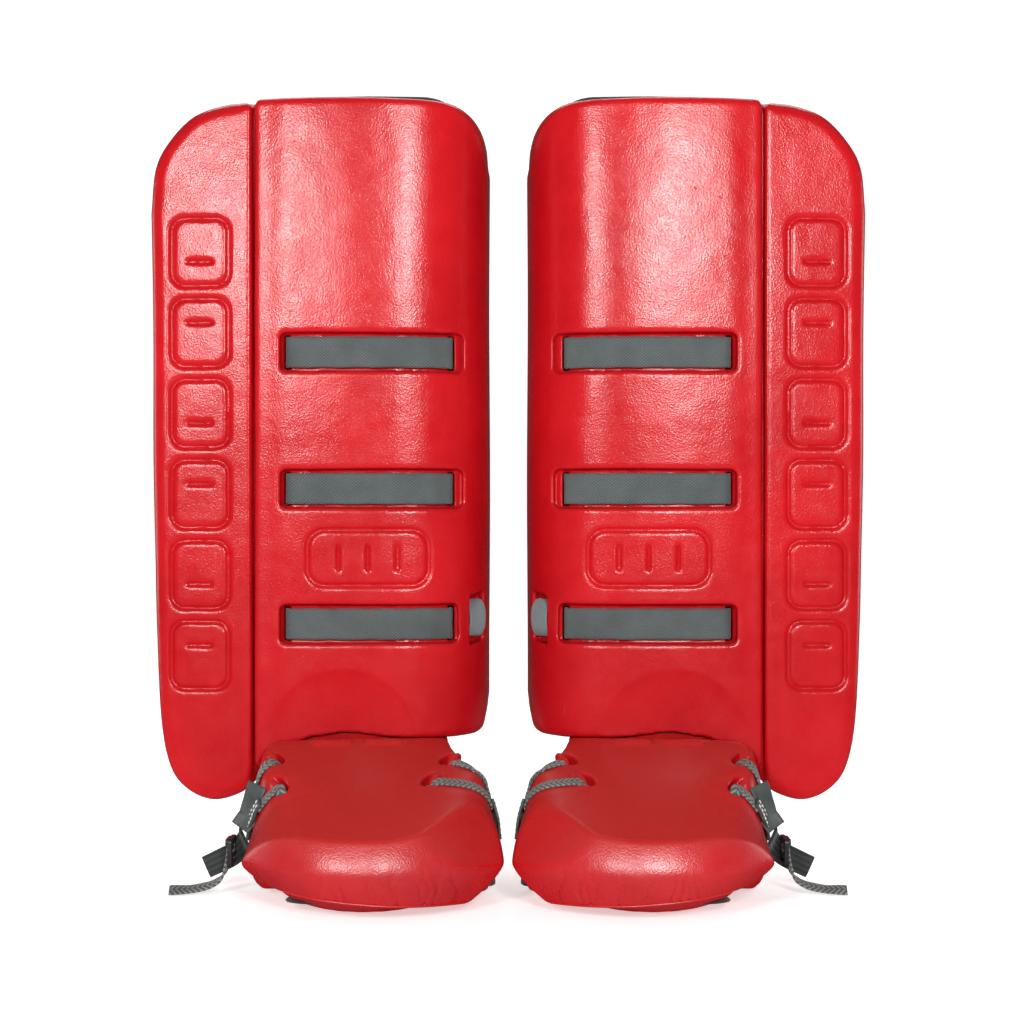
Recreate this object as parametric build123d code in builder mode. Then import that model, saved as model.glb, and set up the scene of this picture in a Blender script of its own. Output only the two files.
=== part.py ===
from build123d import *
import os

# Pair of field hockey goalkeeper leg guards with their kickers.
# Millimetres, +Z up, toes towards -Y, wearer's right leg at -X. The wearer's right side is
# modelled, and the left side is its mirror image about the YZ plane.
# Coordinates are leg-centred: x from the leg's centre line (outer side negative), y from the
# guard's front plane (heel positive), z from the floor.

os.makedirs("parts", exist_ok=True)

# ---------------------------------------------------------------- driving dimensions
LEG_X = -112.0          # centre line of the wearer's right leg
FRONT_Y = 9.0           # Y of the guard's front plane, so that the pair is centred in Y

TOP_Z = 636.0           # top of the leg guard
PANEL_Z = 119.0         # lower corners of the main panel
ARCH_Z = 130.0          # crown of the arch in the main panel's lower edge
WING_Z = 62.0           # lowest point of the outer wing
INNER_X = 96.0          # inner side of the guard
WING_X = -183.0         # outer edge of the wing
CHANNEL_Y = 37.0        # front wall of the channel behind the main panel

LEG_STRAPS = {"top": 429.0, "mid": 318.0, "low": 208.0}   # name: height
WEB_W = 25.0            # webbing width
WEB_T = 1.8             # webbing thickness
POCKET_X = 75.0         # half width of a strap pocket
POCKET_H = 32.5         # height of a strap pocket
POCKET_D = 8.0          # depth of a strap pocket
SLOT_W = 6.5            # width of a strap slot through the foam
SLOT_H = WEB_W + 3      # height of a strap slot through the foam

WINDOW_Z = 204.0        # mid height of the ankle window and its loop
LOOP_W = 28.0           # width of the ankle loop

REAR_Y = 140.0          # centre plane of the buckles
MOUTH_X = -8.0          # mouth of the buckle sockets
SOCKET_BAR = -28.5      # strap slot of the socket, from the mouth
TONGUE_BAR = 13.75      # strap slot of the tongue, from the mouth
BUCKLE_H = WEB_W + 1.4  # height of the openings in a buckle
THROUGH_D = 12.0        # depth of a cut right through a buckle

HEEL_Y = 144.0          # rearmost run of the heel strap
HEEL_Z = 30.0           # lower edge of the heel strap

KICKER_CUT_X = 120.0    # half width of the side-view cuts in the kicker


# ---------------------------------------------------------------- helpers
def plan_plane(z, x=0.0, y=0.0):
    """Horizontal sketch plane at height z."""
    return Plane(origin=(LEG_X + x, FRONT_Y + y, z), x_dir=(1, 0, 0), z_dir=(0, 0, 1))


def front_plane(y, x=0.0, z=0.0):
    """Front-view sketch plane at depth y; extrude goes towards -Y."""
    return Plane(origin=(LEG_X + x, FRONT_Y + y, z), x_dir=(1, 0, 0), z_dir=(0, -1, 0))


def side_plane(x, y=0.0, z=0.0):
    """Side-view sketch plane at x; extrude goes towards +X."""
    return Plane(origin=(LEG_X + x, FRONT_Y + y, z), x_dir=(0, 1, 0), z_dir=(1, 0, 0))


def at(x, y, z):
    """Point from leg-centred coordinates."""
    return Vector(LEG_X + x, FRONT_Y + y, z)


def write_pair(builder, name):
    """Writes the wearer's right piece and its mirror image."""
    builder.part.label = "right_" + name
    export_step(builder.part, f"parts/right_{name}.step")
    with BuildPart() as other:
        mirror(builder.part, about=Plane.YZ)
    other.part.label = "left_" + name
    export_step(other.part, f"parts/left_{name}.step")


def tape(path, across, width, thick):
    """Adds a flat tape to the part being built, as short plates joined end to end."""
    points = [at(*place) for place in path]
    across = Vector(*across)
    for start, end in zip(points[:-1], points[1:]):
        along = (end - start).normalized()
        side = (across - along * across.dot(along)).normalized()
        middle = (start + end) * 0.5
        with Locations(Plane(origin=middle, x_dir=along, z_dir=along.cross(side))):
            # the extra length closes the joints at the bends
            Box((end - start).length + thick * 0.9, width, thick)


def cut_buckle(x, z, length, depth, height):
    """Cuts a block from a buckle, centred x from its mouth and at height z."""
    with Locations(at(MOUTH_X + x, REAR_Y, z)):
        Box(length, depth, height, mode=Mode.SUBTRACT)


# ---------------------------------------------------------------- leg guard shell (moulded foam)
# Plan view, (x, y): the front face, then on round the channel and the flat outer wing
FRONT = [(-93, 2), (-62, -3), (-12, -5), (32, -2.5), (62, 7), (82, 26), (93, 50), (INNER_X, 78)]
BACK = [
    FRONT[-1], (95, 108), (90, 115), (74, 115), (69, 108), (68, 62), (60, 44), (48, CHANNEL_Y),
    (-48, CHANNEL_Y), (-60, 44), (-68, 62), (-69, 104), (-74, 111), (-90, 111), (-95, 104),
    (-98, 50), (-106, 44), (-172, 49), (-181, 43), (WING_X, 32), (-182, 20), (-174, 14),
    (-98, 8), (-95, 9), FRONT[0],
]
# Front view, (x, z), anticlockwise from the top
OUTER_CORNER = [(-94, TOP_Z), (-121, 634), (-147, 625), (-167, 606), (-179, 583), (WING_X, 545)]
WING_END = [(-178.5, 203), (-175, 130), (-167, 89), (-153, 73), (-130, WING_Z), (-109, 69),
            (-95, 83), (-88, 106)]
ARCH = [WING_END[-1], (-72, 117), (-40, 127), (0, ARCH_Z), (30, 126), (52, PANEL_Z)]
INNER_CORNER = [(INNER_X, 592), (91, 613), (72, 630), (42, TOP_Z)]
# Side view, (y, z): rounded rear corners and walls that rise towards the back
GUARD_SIDE = [(-40, 40), (52, 40), (52, 124), (90, 146), (112, 158), (118, 175), (118, 585),
              (110, 612), (90, 630), (60, TOP_Z + 3), (-40, TOP_Z + 3)]
# Side view, (y, z): what the bevel takes off under the main panel
BEVEL = [(-20, 100), (-20, 108), (-2, ARCH_Z - 11), (37, 152), (60, 156), (60, 100)]
# Plan view, (x, y): groove between the main panel and the wing
GROOVE = [(-98.5, 2), (-94.8, 15), (-94.2, 15), (-92.5, 0), (-98.5, 0)]
GROOVE_Z = (110, 600)
# Centre lines of the strap slots in plan: front x, y, then rear x, y
STRAP_SLOTS = [(-73.2, 0.5, -56, 50), (75.5, 12, 55, 51.6)]


def build_guard_shell():
    with BuildPart() as shell:
        with BuildSketch(plan_plane(WING_Z - 2)):
            with BuildLine():
                Spline(*FRONT, tangents=((1, -0.14), (0.02, 1)))
                Polyline(*BACK)
            make_face()
        extrude(amount=TOP_Z - WING_Z + 4)
        # front-view outline, with the wing hanging lower than the panel
        with BuildSketch(front_plane(140)):
            with BuildLine():
                Spline(*OUTER_CORNER, tangents=((-1, 0), (0, -1)))
                Polyline(OUTER_CORNER[-1], (-181, 349), WING_END[0])
                Spline(*WING_END, tangents=((0, -1), (0.5, 1)))
                Spline(*ARCH, tangents=((0.5, 1), (1, -0.15)))
                Polyline(ARCH[-1], (86, PANEL_Z), (93, 122), (INNER_X, 130), INNER_CORNER[0])
                Spline(*INNER_CORNER, tangents=((0, 1), (-1, 0)))
                Line(INNER_CORNER[-1], OUTER_CORNER[0])
            make_face()
        extrude(amount=180, mode=Mode.INTERSECT)
        with BuildSketch(side_plane(-200)):
            with BuildLine():
                Polyline(*GUARD_SIDE, close=True)
            make_face()
        extrude(amount=320, mode=Mode.INTERSECT)
        # bevelled underside over the kicker's instep
        with BuildSketch(side_plane(-86)):
            with BuildLine():
                Polyline(*BEVEL, close=True)
            make_face()
        extrude(amount=148, mode=Mode.SUBTRACT)
        with BuildSketch(plan_plane(GROOVE_Z[0])):
            with BuildLine():
                Polyline(*GROOVE, close=True)
            make_face()
        extrude(amount=GROOVE_Z[1] - GROOVE_Z[0], mode=Mode.SUBTRACT)

        # strap pockets: the floor follows the front face
        floor = [(x, y + POCKET_D) for x, y in FRONT[:5]] + [(POCKET_X, 25)]
        for z in LEG_STRAPS.values():
            with BuildSketch(plan_plane(z - POCKET_H / 2)):
                with BuildLine():
                    Spline(*floor)
                    Polyline(floor[-1], (POCKET_X, -12), (floor[0][0], -12), floor[0])
                make_face()
                # trims the pocket at its outer end
                with BuildLine():
                    Polyline((-POCKET_X, -20), (-POCKET_X, 40), (-120, 40), (-120, -20),
                             close=True)
                make_face(mode=Mode.SUBTRACT)
            extrude(amount=POCKET_H, mode=Mode.SUBTRACT)

        # slots that take the straps through the panel to the channel
        for z in LEG_STRAPS.values():
            with BuildSketch(plan_plane(z - SLOT_H / 2)):
                for x0, y0, x1, y1 in STRAP_SLOTS:
                    with BuildLine():
                        Polyline((x0 - SLOT_W / 2, y0), (x0 + SLOT_W / 2, y0),
                                 (x1 + SLOT_W / 2, y1), (x1 - SLOT_W / 2, y1), close=True)
                    make_face()
            extrude(amount=SLOT_H, mode=Mode.SUBTRACT)
        # window for the ankle loop, in the inner front corner
        window = Plane(origin=at(100, 22, WINDOW_Z), x_dir=(0.62, 0.78, 0), z_dir=(0.78, -0.62, 0))
        with BuildSketch(window):
            RectangleRounded(26, 42, 3)
        extrude(amount=-28, mode=Mode.SUBTRACT)
    write_pair(shell, "guard_shell")
    return shell.part


# ---------------------------------------------------------------- leg straps and ankle loop
# Centre lines in plan, (x, y)
# from the buckle socket round the front to the inner wall
BAND = [
    (MOUTH_X + SOCKET_BAR, REAR_Y - 2), (MOUTH_X + SOCKET_BAR, REAR_Y + 5.9),
    (-46, REAR_Y + 5.9), (-57, REAR_Y - 5), (-65, REAR_Y - 26), (-65, 66), (-58, 46),
    (-71.5, 5.5), (-64, 0.6), (-20, -1.2), (20, -0.8), (52, 5.4), (72.5, 18), (58, 46),
    (65.2, 66), (65.2, 104),
]
# from where it is sewn to the strap to the buckle tongue
ELASTIC = [
    (62.8, 78), (62.8, 112), (50, 136), (26, REAR_Y + 4.9),
    (MOUTH_X + TONGUE_BAR, REAR_Y + 4.9), (MOUTH_X + TONGUE_BAR, REAR_Y - 1.5),
]
# round the back of the window
ANKLE_LOOP = [(79.5, 28.5), (84.5, 24.5), (91.5, 31.5), (94.8, 42), (90, 44)]


def build_band(name, z, path, bend, thick):
    """Upright webbing centred at height z along a plan-view path."""
    with BuildPart() as band:
        with BuildSketch(plan_plane(z - WEB_W / 2)):
            with BuildLine():
                FilletPolyline(*path, radius=bend)
            trace(line_width=thick)
        extrude(amount=WEB_W)
    write_pair(band, name)


def build_ankle_loop(guard):
    with BuildPart() as loop:
        with BuildSketch(plan_plane(WINDOW_Z - LOOP_W / 2)):
            with BuildLine():
                FilletPolyline(*ANKLE_LOOP, radius=2)
            trace(line_width=1.6)
        extrude(amount=LOOP_W)
        add(guard, mode=Mode.SUBTRACT)
    write_pair(loop, "ankle_loop")


# ---------------------------------------------------------------- soft linings inside the channel
LINER_Y = CHANNEL_Y + 0.6       # front faces of the shin liner and knee pad


def build_shin_liner():
    with BuildPart() as liner:
        with BuildSketch(plan_plane(178)):
            with BuildLine():
                Polyline((-46, LINER_Y), (46, LINER_Y), (44, 47.5), (-44, 47.5), close=True)
            make_face()
            fillet(vertices(), radius=3)
        extrude(amount=302)
    write_pair(liner, "shin_liner")


def build_knee_pad():
    with BuildPart() as pad:
        with BuildSketch(front_plane(LINER_Y, z=560)):
            RectangleRounded(96, 120, 18)
        extrude(amount=-20)
        fillet(faces().sort_by(Axis.Y)[-1].edges(), radius=7)
    write_pair(pad, "knee_pad")


def build_calf_pads():
    with BuildPart() as pads:
        for x in (-62.0, 50.2):
            with BuildSketch(side_plane(x, 84, 330)):
                RectangleRounded(40, 270, 12)
            extrude(amount=10.6)
    write_pair(pads, "calf_pads")


# ---------------------------------------------------------------- side-release buckles
# Each buckle lies along X, with the socket towards the wing.
SOCKET_T = 9.2          # socket thickness
SOCKET_L = 34.0         # socket length
CAVITY_D = 5.2          # depth of the cavity and side windows in the socket
SNAP_X = -14.0          # centre of the side windows, from the mouth
TONGUE_T = 7.2          # tongue thickness
GUIDE_T = 4.0           # thickness of the tongue's central guide
PRONG_T = 4.2           # prong thickness
# Upper prong in front view: x from the mouth, z from the buckle's centre
PRONG = [(0.5, 6.5), (0.5, 12.6), (-7.6, 12.6), (-8.0, 16.6), (-13.5, 16.8), (-19.8, 10.5),
         (-19.8, 9.0), (-12, 8.6)]


def build_buckle_sockets():
    with BuildPart() as sockets:
        for z in LEG_STRAPS.values():
            with BuildSketch(front_plane(REAR_Y + SOCKET_T / 2, MOUTH_X - SOCKET_L / 2, z)):
                RectangleRounded(SOCKET_L, 36, 5)
            extrude(amount=SOCKET_T)
        fillet(edges().group_by(Axis.Y)[-1], radius=1.6)
        fillet(edges().group_by(Axis.Y)[0], radius=1.6)
        for z in LEG_STRAPS.values():
            # cavity, open at the mouth
            cut_buckle(-10.5, z, length=25, depth=CAVITY_D, height=BUCKLE_H)
            # side windows that the prongs snap into
            cut_buckle(SNAP_X, z, length=14, depth=CAVITY_D, height=40)
            # thumb recesses beside the windows
            for side in (-1, 1):
                recess = front_plane(REAR_Y + THROUGH_D / 2, MOUTH_X + SNAP_X, z + side * 20.5)
                with BuildSketch(recess):
                    Ellipse(8, 4.5)
                extrude(amount=THROUGH_D, mode=Mode.SUBTRACT)
            # webbing slot, which leaves a bar at the end
            cut_buckle(SOCKET_BAR, z, length=4.2, depth=THROUGH_D, height=BUCKLE_H)
    write_pair(sockets, "buckle_sockets")


def build_tongue(name, z):
    with BuildPart() as tongue:
        with BuildSketch(front_plane(REAR_Y + TONGUE_T / 2, MOUTH_X + 9.6, z)):
            RectangleRounded(18, 35, 4)
        extrude(amount=TONGUE_T)
        fillet(edges().group_by(Axis.Y)[-1], radius=1.3)
        fillet(edges().group_by(Axis.Y)[0], radius=1.3)
        cut_buckle(TONGUE_BAR, z, length=4.5, depth=THROUGH_D, height=BUCKLE_H)
        cut_buckle(5.8, z, length=3.6, depth=THROUGH_D, height=BUCKLE_H)
        # central guide that runs into the socket
        with BuildSketch(front_plane(REAR_Y + GUIDE_T / 2, MOUTH_X - 8.4, z)):
            RectangleRounded(18.4, 5.5, 1.5)
        extrude(amount=GUIDE_T)
    write_pair(tongue, name + "_tongue")


def build_prongs(name, z):
    with BuildPart() as prongs:
        for side in (-1, 1):
            with BuildSketch(front_plane(REAR_Y + PRONG_T / 2, MOUTH_X, z)):
                with BuildLine():
                    Polyline(*[(px, side * pz) for px, pz in PRONG], close=True)
                make_face()
            extrude(amount=PRONG_T)
    write_pair(prongs, name + "_prongs")


# ---------------------------------------------------------------- kicker shell (moulded foam)
# Sections from toe to heel: y, then (x, z) from the outer bottom over the rim and crown to the
# inner bottom, closing through a point near the middle of the underside
KICKER_SECTIONS = [
    (-168, [(-46, 18), (-53, 32), (-42, 50), (-14, 59), (10, 61),
            (36, 58), (66, 47), (80, 32), (74, 17), (14, 16)]),
    (-144, [(-62, 17), (-79, 29), (-66, 50), (-30, 65), (8, 69),
            (44, 65), (84, 46), (104, 28), (90, 16), (14, 14)]),
    (-112, [(-72, 13), (-88, 29), (-80, 55), (-42, 74), (6, 79),
            (48, 74), (94, 52), (111, 29), (98, 13), (12, 10)]),
    (-60, [(-80, 5), (-90, 38), (-88, 68), (-48, 88), (4, 95),
           (52, 90), (95, 74), (104, 42), (97, 5), (12, 5)]),
    (-34, [(-80, 3), (-89, 46), (-86, 80), (-50, 97), (2, 103),
           (52, 98), (88, 82), (97, 46), (91, 3), (10, 3)]),
    (4, [(-64, 2), (-68, 46), (-63, 96), (-40, 109), (0, 114),
         (40, 109), (63, 96), (68, 46), (64, 2), (0, 2)]),
    (48, [(-60, 0), (-63, 42), (-58, 106), (-38, 121), (0, 127),
          (38, 121), (58, 106), (63, 42), (60, 0), (0, 0)]),
    (98, [(-56, 0), (-60, 36), (-57, 62), (-36, 84), (0, 92),
          (36, 84), (57, 62), (60, 36), (56, 0), (0, 0)]),
]
# Hollow for the foot: plan (x, y) and side view (y, z)
HOLLOW_PLAN = [(-34, -146), (-50, -122), (-56, -60), (-50, 0), (-44, 112), (44, 112), (50, 0),
               (64, -60), (60, -122), (46, -146)]
HOLLOW_SIDE = [(-146, -5), (-146, 26), (-128, 42), (-90, 56), (-40, 70), (10, 88), (50, 104),
               (120, 150), (120, -5)]
# Side-view cuts, (y, z)
ANKLE_OPENING = [(52, 200), (46, 118), (58, 84), (74, 70), (120, 58), (120, 200)]
SOLE_RELIEF = [(-62, -5), (-54, 9), (12, 9), (22, -5)]
# Lace slots: x, y, z of the centre, and turn in plan in degrees
LACE_SLOTS = [(-66, -8, 100, 35), (-60, -60, 86, 30), (62, -20, 99, -35), (50, -62, 90, -20)]


def build_kicker_shell():
    # open underneath and at the heel
    with BuildPart() as hollow:
        with BuildSketch(plan_plane(-5)):
            with BuildLine():
                Polyline(*HOLLOW_PLAN, close=True)
            make_face()
        extrude(amount=160)
        with BuildSketch(side_plane(-KICKER_CUT_X)):
            with BuildLine():
                Polyline(*HOLLOW_SIDE, close=True)
            make_face()
        extrude(amount=2 * KICKER_CUT_X, mode=Mode.INTERSECT)

    with BuildPart() as shell:
        for y, outline in KICKER_SECTIONS:
            with BuildSketch(front_plane(y)):
                with BuildLine():
                    Polyline(*outline, close=True)
                make_face()
        loft(ruled=True)
        add(hollow.part, mode=Mode.SUBTRACT)
        # the top ends behind the instep and the heel walls drop to the back;
        # the relief in the side walls lets the sole strap pass
        for cut in (ANKLE_OPENING, SOLE_RELIEF):
            with BuildSketch(side_plane(-KICKER_CUT_X)):
                with BuildLine():
                    Polyline(*cut, close=True)
                make_face()
            extrude(amount=2 * KICKER_CUT_X, mode=Mode.SUBTRACT)
        for x, y, z, turn in LACE_SLOTS:
            with BuildSketch(plan_plane(z + 40, x, y).rotated((0, 0, turn))):
                RectangleRounded(7, 22, 3)
            extrude(amount=-90, mode=Mode.SUBTRACT)
    write_pair(shell, "kicker_shell")
    return shell.part


# ---------------------------------------------------------------- toe insert
# Closes the toe box underneath; plan view, (x, y)
TOE_INSERT = [(-30, -142), (-46, -120), (-50, -64), (56, -64), (56, -120), (42, -142)]


def build_toe_insert():
    with BuildPart() as insert:
        with BuildSketch(plan_plane(0)):
            with BuildLine():
                Polyline(*TOE_INSERT, close=True)
            make_face()
            fillet(vertices(), radius=8)
        extrude(amount=13)
        chamfer(edges().group_by(Axis.Z)[0], length=7)
    write_pair(insert, "toe_insert")


# ---------------------------------------------------------------- laces and straps of the kicker
# Pieces of flat tape. Each run is its centre line (x, y, z), the direction across the tape,
# the width and the thickness.
LACE_ACROSS = (0, -1, 0.33)
OUTER_LACE = [
    ([(-62, -8, 92), (-68, -10, 102.5), (-80, -16, 99), (-93, -28, 82), (-95.5, -44, 66)],
     LACE_ACROSS, 12.0, 1.6),
    ([(-56, -61, 78), (-62, -62, 88.5), (-76, -60, 84), (-93.5, -58, 71), (-95.5, -52, 64)],
     LACE_ACROSS, 12.0, 1.6),
]
INNER_LACE = [
    ([(57, -20, 90), (64, -22, 101), (82, -30, 94), (94, -42, 84), (99.6, -56, 65)],
     LACE_ACROSS, 12.0, 1.6),
    ([(45, -62, 80), (51, -63, 94), (78, -64, 88), (96, -66, 78), (99.4, -66, 65)],
     LACE_ACROSS, 12.0, 1.6),
]
LACE_KEEPERS = [
    ([(-100.2, -50, 72), (-100.2, -56, 48)], (0, 1, 0), 22.0, 3.0),
    ([(103.4, -63, 66), (108.4, -65, 48)], (0, 1, 0), 21.0, 2.4),
]
# under the arch of the foot, from the inner keeper to the ladder lock on the outer side
SOLE_STRAP = [
    ([(100.2, -64, 60), (107.6, -60, 38), (102, -42, 8), (94, -30, 4.2), (-78, -26, 4.2),
      (-88, -34, 8), (-94.6, -50, 26), (-95.6, -52, 38)], (0, 1, 0), 20.0, 1.6),
]
# free end of the sole strap, hanging from the ladder lock to the floor
STRAP_TAIL = [
    ([(-107.6, -56, 32), (-111, -57, 16), (-119, -58, 6.5), (-134, -59, 3.6), (-158, -60, 2.6)],
     (0.1, 1, 0.1), 18.0, 1.6),
]
# one run on each side of the toe insert; the outer one ends in the pull tab
TOE_STRAP = [
    ([(107.5, -104, 21), (100, -106, 7), (90, -106, 3.4), (62, -106, 2.4)],
     (0, 1, 0), 22.0, 2.0),
    ([(-56, -106, 2.4), (-80, -106, 3.4), (-91, -104, 10), (-98.6, -92, 34), (-108, -86, 31),
      (-130, -80, 26)], (0.1, 1, 0.15), 20.0, 2.0),
]


def build_tapes(name, runs, shell=None):
    """Writes a piece made of tape, cut back where it enters the shell if one is given."""
    with BuildPart() as piece:
        for path, across, width, thick in runs:
            tape(path, across, width, thick)
        if shell is not None:
            add(shell, mode=Mode.SUBTRACT)
    write_pair(piece, name)


def build_ladder_lock():
    """Ladder lock that tightens the sole strap."""
    # sketch x runs towards the heel, sketch y downwards, and extrude goes outwards
    outer_face = Plane(origin=at(-102.6, -56, 34), x_dir=(0, 1, 0), z_dir=(-1, 0, 0))
    with BuildPart() as lock:
        with BuildSketch(outer_face):
            RectangleRounded(27, 22, 3)
            with Locations((0, 6.2), (0, -0.6)):
                RectangleRounded(21, 3.2, 0.8, mode=Mode.SUBTRACT)
        extrude(amount=3.0)
        # raised bar along the top
        with BuildSketch(outer_face):
            with Locations((0, -8.2)):
                RectangleRounded(20, 4.4, 1.5)
        extrude(amount=5.2)
    write_pair(lock, "ladder_lock")


# Centre line of the heel strap in plan, (x, y)
HEEL_STRAP = [(-65.5, 62), (-65.5, 100), (-52, 132), (-20, HEEL_Y), (20, HEEL_Y), (52, 132),
              (65.5, 100), (65.5, 62)]
SLIDER_L = 18.0         # length of the heel slider along the strap


def build_heel_slider():
    with BuildPart() as slider:
        with BuildSketch(side_plane(-SLIDER_L / 2, HEEL_Y, HEEL_Z + WEB_W / 2)):
            RectangleRounded(8.6, 33, 2)
            Rectangle(3.2, 26.5, mode=Mode.SUBTRACT)
        extrude(amount=SLIDER_L)
    write_pair(slider, "heel_slider")


# ---------------------------------------------------------------- all pieces
guard_shell = build_guard_shell()
build_ankle_loop(guard_shell)
build_shin_liner()
build_knee_pad()
build_calf_pads()

build_buckle_sockets()
for strap, height in LEG_STRAPS.items():
    build_band(strap + "_strap", height, BAND, bend=2.5, thick=WEB_T)
    build_tongue(strap, height)
    build_prongs(strap, height)
    build_band(strap + "_elastic", height, ELASTIC, bend=3, thick=2.0)

kicker_shell = build_kicker_shell()
build_toe_insert()
build_tapes("outer_lace", OUTER_LACE, kicker_shell)
build_tapes("inner_lace", INNER_LACE, kicker_shell)
build_tapes("lace_keepers", LACE_KEEPERS)
build_tapes("sole_strap", SOLE_STRAP, kicker_shell)
build_ladder_lock()
build_tapes("strap_tail", STRAP_TAIL)
build_tapes("toe_strap", TOE_STRAP, kicker_shell)
build_band("heel_strap", HEEL_Z + WEB_W / 2, HEEL_STRAP, bend=12, thick=2.0)
build_heel_slider()
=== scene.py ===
"""Pair of moulded foam leg guards, each with a foam kicker over the foot, straps and lining pads.

The guards stand on the floor (z = 0) with their fronts towards -Y. Shapes are drawn in millimetres
for the wearer's right leg, which stands at -X: x from the leg's centre line (+ is inner), y from the
guard's front plane (+ is rearward), z from the floor. The left leg is the mirror image.
"""
import bpy
import math
import numpy as np
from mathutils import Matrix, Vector
from numpy.linalg import norm


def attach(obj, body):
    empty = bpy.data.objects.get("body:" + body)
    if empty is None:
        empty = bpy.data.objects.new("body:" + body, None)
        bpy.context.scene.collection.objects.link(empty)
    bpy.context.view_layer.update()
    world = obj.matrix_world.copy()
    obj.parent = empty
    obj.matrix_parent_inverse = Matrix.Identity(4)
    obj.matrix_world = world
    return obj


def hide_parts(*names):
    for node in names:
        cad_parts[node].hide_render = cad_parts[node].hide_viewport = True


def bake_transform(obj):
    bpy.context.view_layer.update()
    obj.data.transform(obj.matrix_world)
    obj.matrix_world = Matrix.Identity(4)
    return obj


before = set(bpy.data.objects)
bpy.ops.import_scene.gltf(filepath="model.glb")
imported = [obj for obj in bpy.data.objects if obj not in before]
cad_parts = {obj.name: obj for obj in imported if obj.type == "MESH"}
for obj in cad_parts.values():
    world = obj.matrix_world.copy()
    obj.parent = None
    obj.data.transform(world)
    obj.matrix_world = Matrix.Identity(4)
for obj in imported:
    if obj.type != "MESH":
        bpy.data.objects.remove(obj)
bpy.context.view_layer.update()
rng = np.random.default_rng(7)

MM = 0.001
LEG_X = 112.0       # from the middle of the pair to a leg's centre line
FRONT_Y = 9.0       # the guard's front plane in the scene
STRAP_HEIGHTS = {"top": 429.0, "mid": 318.0, "low": 208.0}
STRAP_WIDTH = 25.0
TAPE_STEP = 1.3     # spacing of the cross-sections along a tape
SIDES = (("right_", 1.0), ("left_", -1.0))      # name prefix, mirror factor

# Cell sizes of the foam and pad meshes
GUARD_CELL = 1.6
KICKER_CELL = 1.4
PAD_CELL = 2.4

# Window in the guard's inner corner: height of its middle, and its direction in plan
WINDOW_Z = 211
WINDOW_COS, WINDOW_SIN = 0.62, 0.78


# ------------------------------------------------------------------ distance fields
# A field is negative inside a shape. Scaling one keeps its slope near 1.
def meet(a, b, radius):
    """Intersection of two fields, with the edge rounded."""
    return (np.minimum(-radius, np.maximum(a, b))
            + np.hypot(np.maximum(a + radius, 0), np.maximum(b + radius, 0)))


def cut(a, b, radius):
    return meet(a, -b, radius)


def fuse(a, b, radius):
    return -meet(-a, -b, radius)


def polygon(px, py, outline):
    """Signed distance to a closed polygon."""
    px, py = np.broadcast_arrays(np.asarray(px, float), np.asarray(py, float))
    nearest = np.full(px.shape, 1e9)
    inside = np.zeros(px.shape, bool)
    for i in range(len(outline)):
        ax, ay = outline[i - 1]
        bx, by = outline[i]
        ex, ey = bx - ax, by - ay
        wx, wy = px - ax, py - ay
        t = np.clip((wx * ex + wy * ey) / (ex * ex + ey * ey + 1e-12), 0, 1)
        nearest = np.minimum(nearest, (wx - ex * t) ** 2 + (wy - ey * t) ** 2)
        rise = ey if abs(ey) > 1e-9 else 1e-9
        inside ^= ((ay > py) != (by > py)) & (px < ex * (py - ay) / rise + ax)
    distance = np.sqrt(nearest)
    return np.where(inside, -distance, distance)


def box(u, v, half_u, half_v, radius):
    """Signed distance to a rectangle with rounded corners."""
    qu, qv = np.abs(u) - half_u + radius, np.abs(v) - half_v + radius
    outside = np.hypot(np.maximum(qu, 0), np.maximum(qv, 0))
    return outside + np.minimum(np.maximum(qu, qv), 0) - radius


def oval(*pairs):
    """Distance from the centre as a share of the radius, from (offset, half size) on each axis."""
    return np.sqrt(sum((offset / half) ** 2 for offset, half in pairs))


def ease(start, end, value):
    t = np.clip((value - start) / (end - start), 0, 1)
    return t * t * (3 - 2 * t)


def rounded(points, steps=7):
    """Closed outline from points (u, v) or (u, v, corner radius)."""
    outline = []
    for i in range(len(points)):
        corner = np.array(points[i][:2], float)
        radius = points[i][2] if len(points[i]) > 2 else 0
        back = np.array(points[i - 1][:2], float) - corner
        ahead = np.array(points[(i + 1) % len(points)][:2], float) - corner
        back_length, ahead_length = norm(back), norm(ahead)
        back, ahead = back / back_length, ahead / ahead_length
        half = math.acos(max(-1, min(1, float(back @ ahead)))) / 2
        if radius <= 0 or half > 1.54:      # sharp, or almost straight
            outline.append(corner)
            continue
        reach = min(radius / math.tan(half), back_length * 0.48, ahead_length * 0.48)
        radius = reach * math.tan(half)
        middle = back + ahead
        centre = corner + middle / norm(middle) * (radius / math.sin(half))
        first = corner + back * reach - centre
        last = corner + ahead * reach - centre
        start = math.atan2(first[1], first[0])
        turn = (math.atan2(last[1], last[0]) - start + math.pi) % (2 * math.pi) - math.pi
        for j in range(steps + 1):
            angle = start + turn * j / steps
            outline.append(centre + radius * np.array([math.cos(angle), math.sin(angle)]))
    return np.array(outline)


def catmull(points, steps):
    """Smooth open curve through points."""
    P = np.array(points, float)
    P = np.vstack([2 * P[0] - P[1], P, 2 * P[-1] - P[-2]])
    curve = []
    for i in range(1, len(P) - 2):
        for j in range(steps):
            t = j / steps
            curve.append(0.5 * (2 * P[i] + (P[i + 1] - P[i - 1]) * t
                                + (2 * P[i - 1] - 5 * P[i] + 4 * P[i + 1] - P[i + 2]) * t * t
                                + (3 * P[i] - P[i - 1] - 3 * P[i + 1] + P[i + 2]) * t ** 3))
    curve.append(P[-2])
    return np.array(curve)


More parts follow.
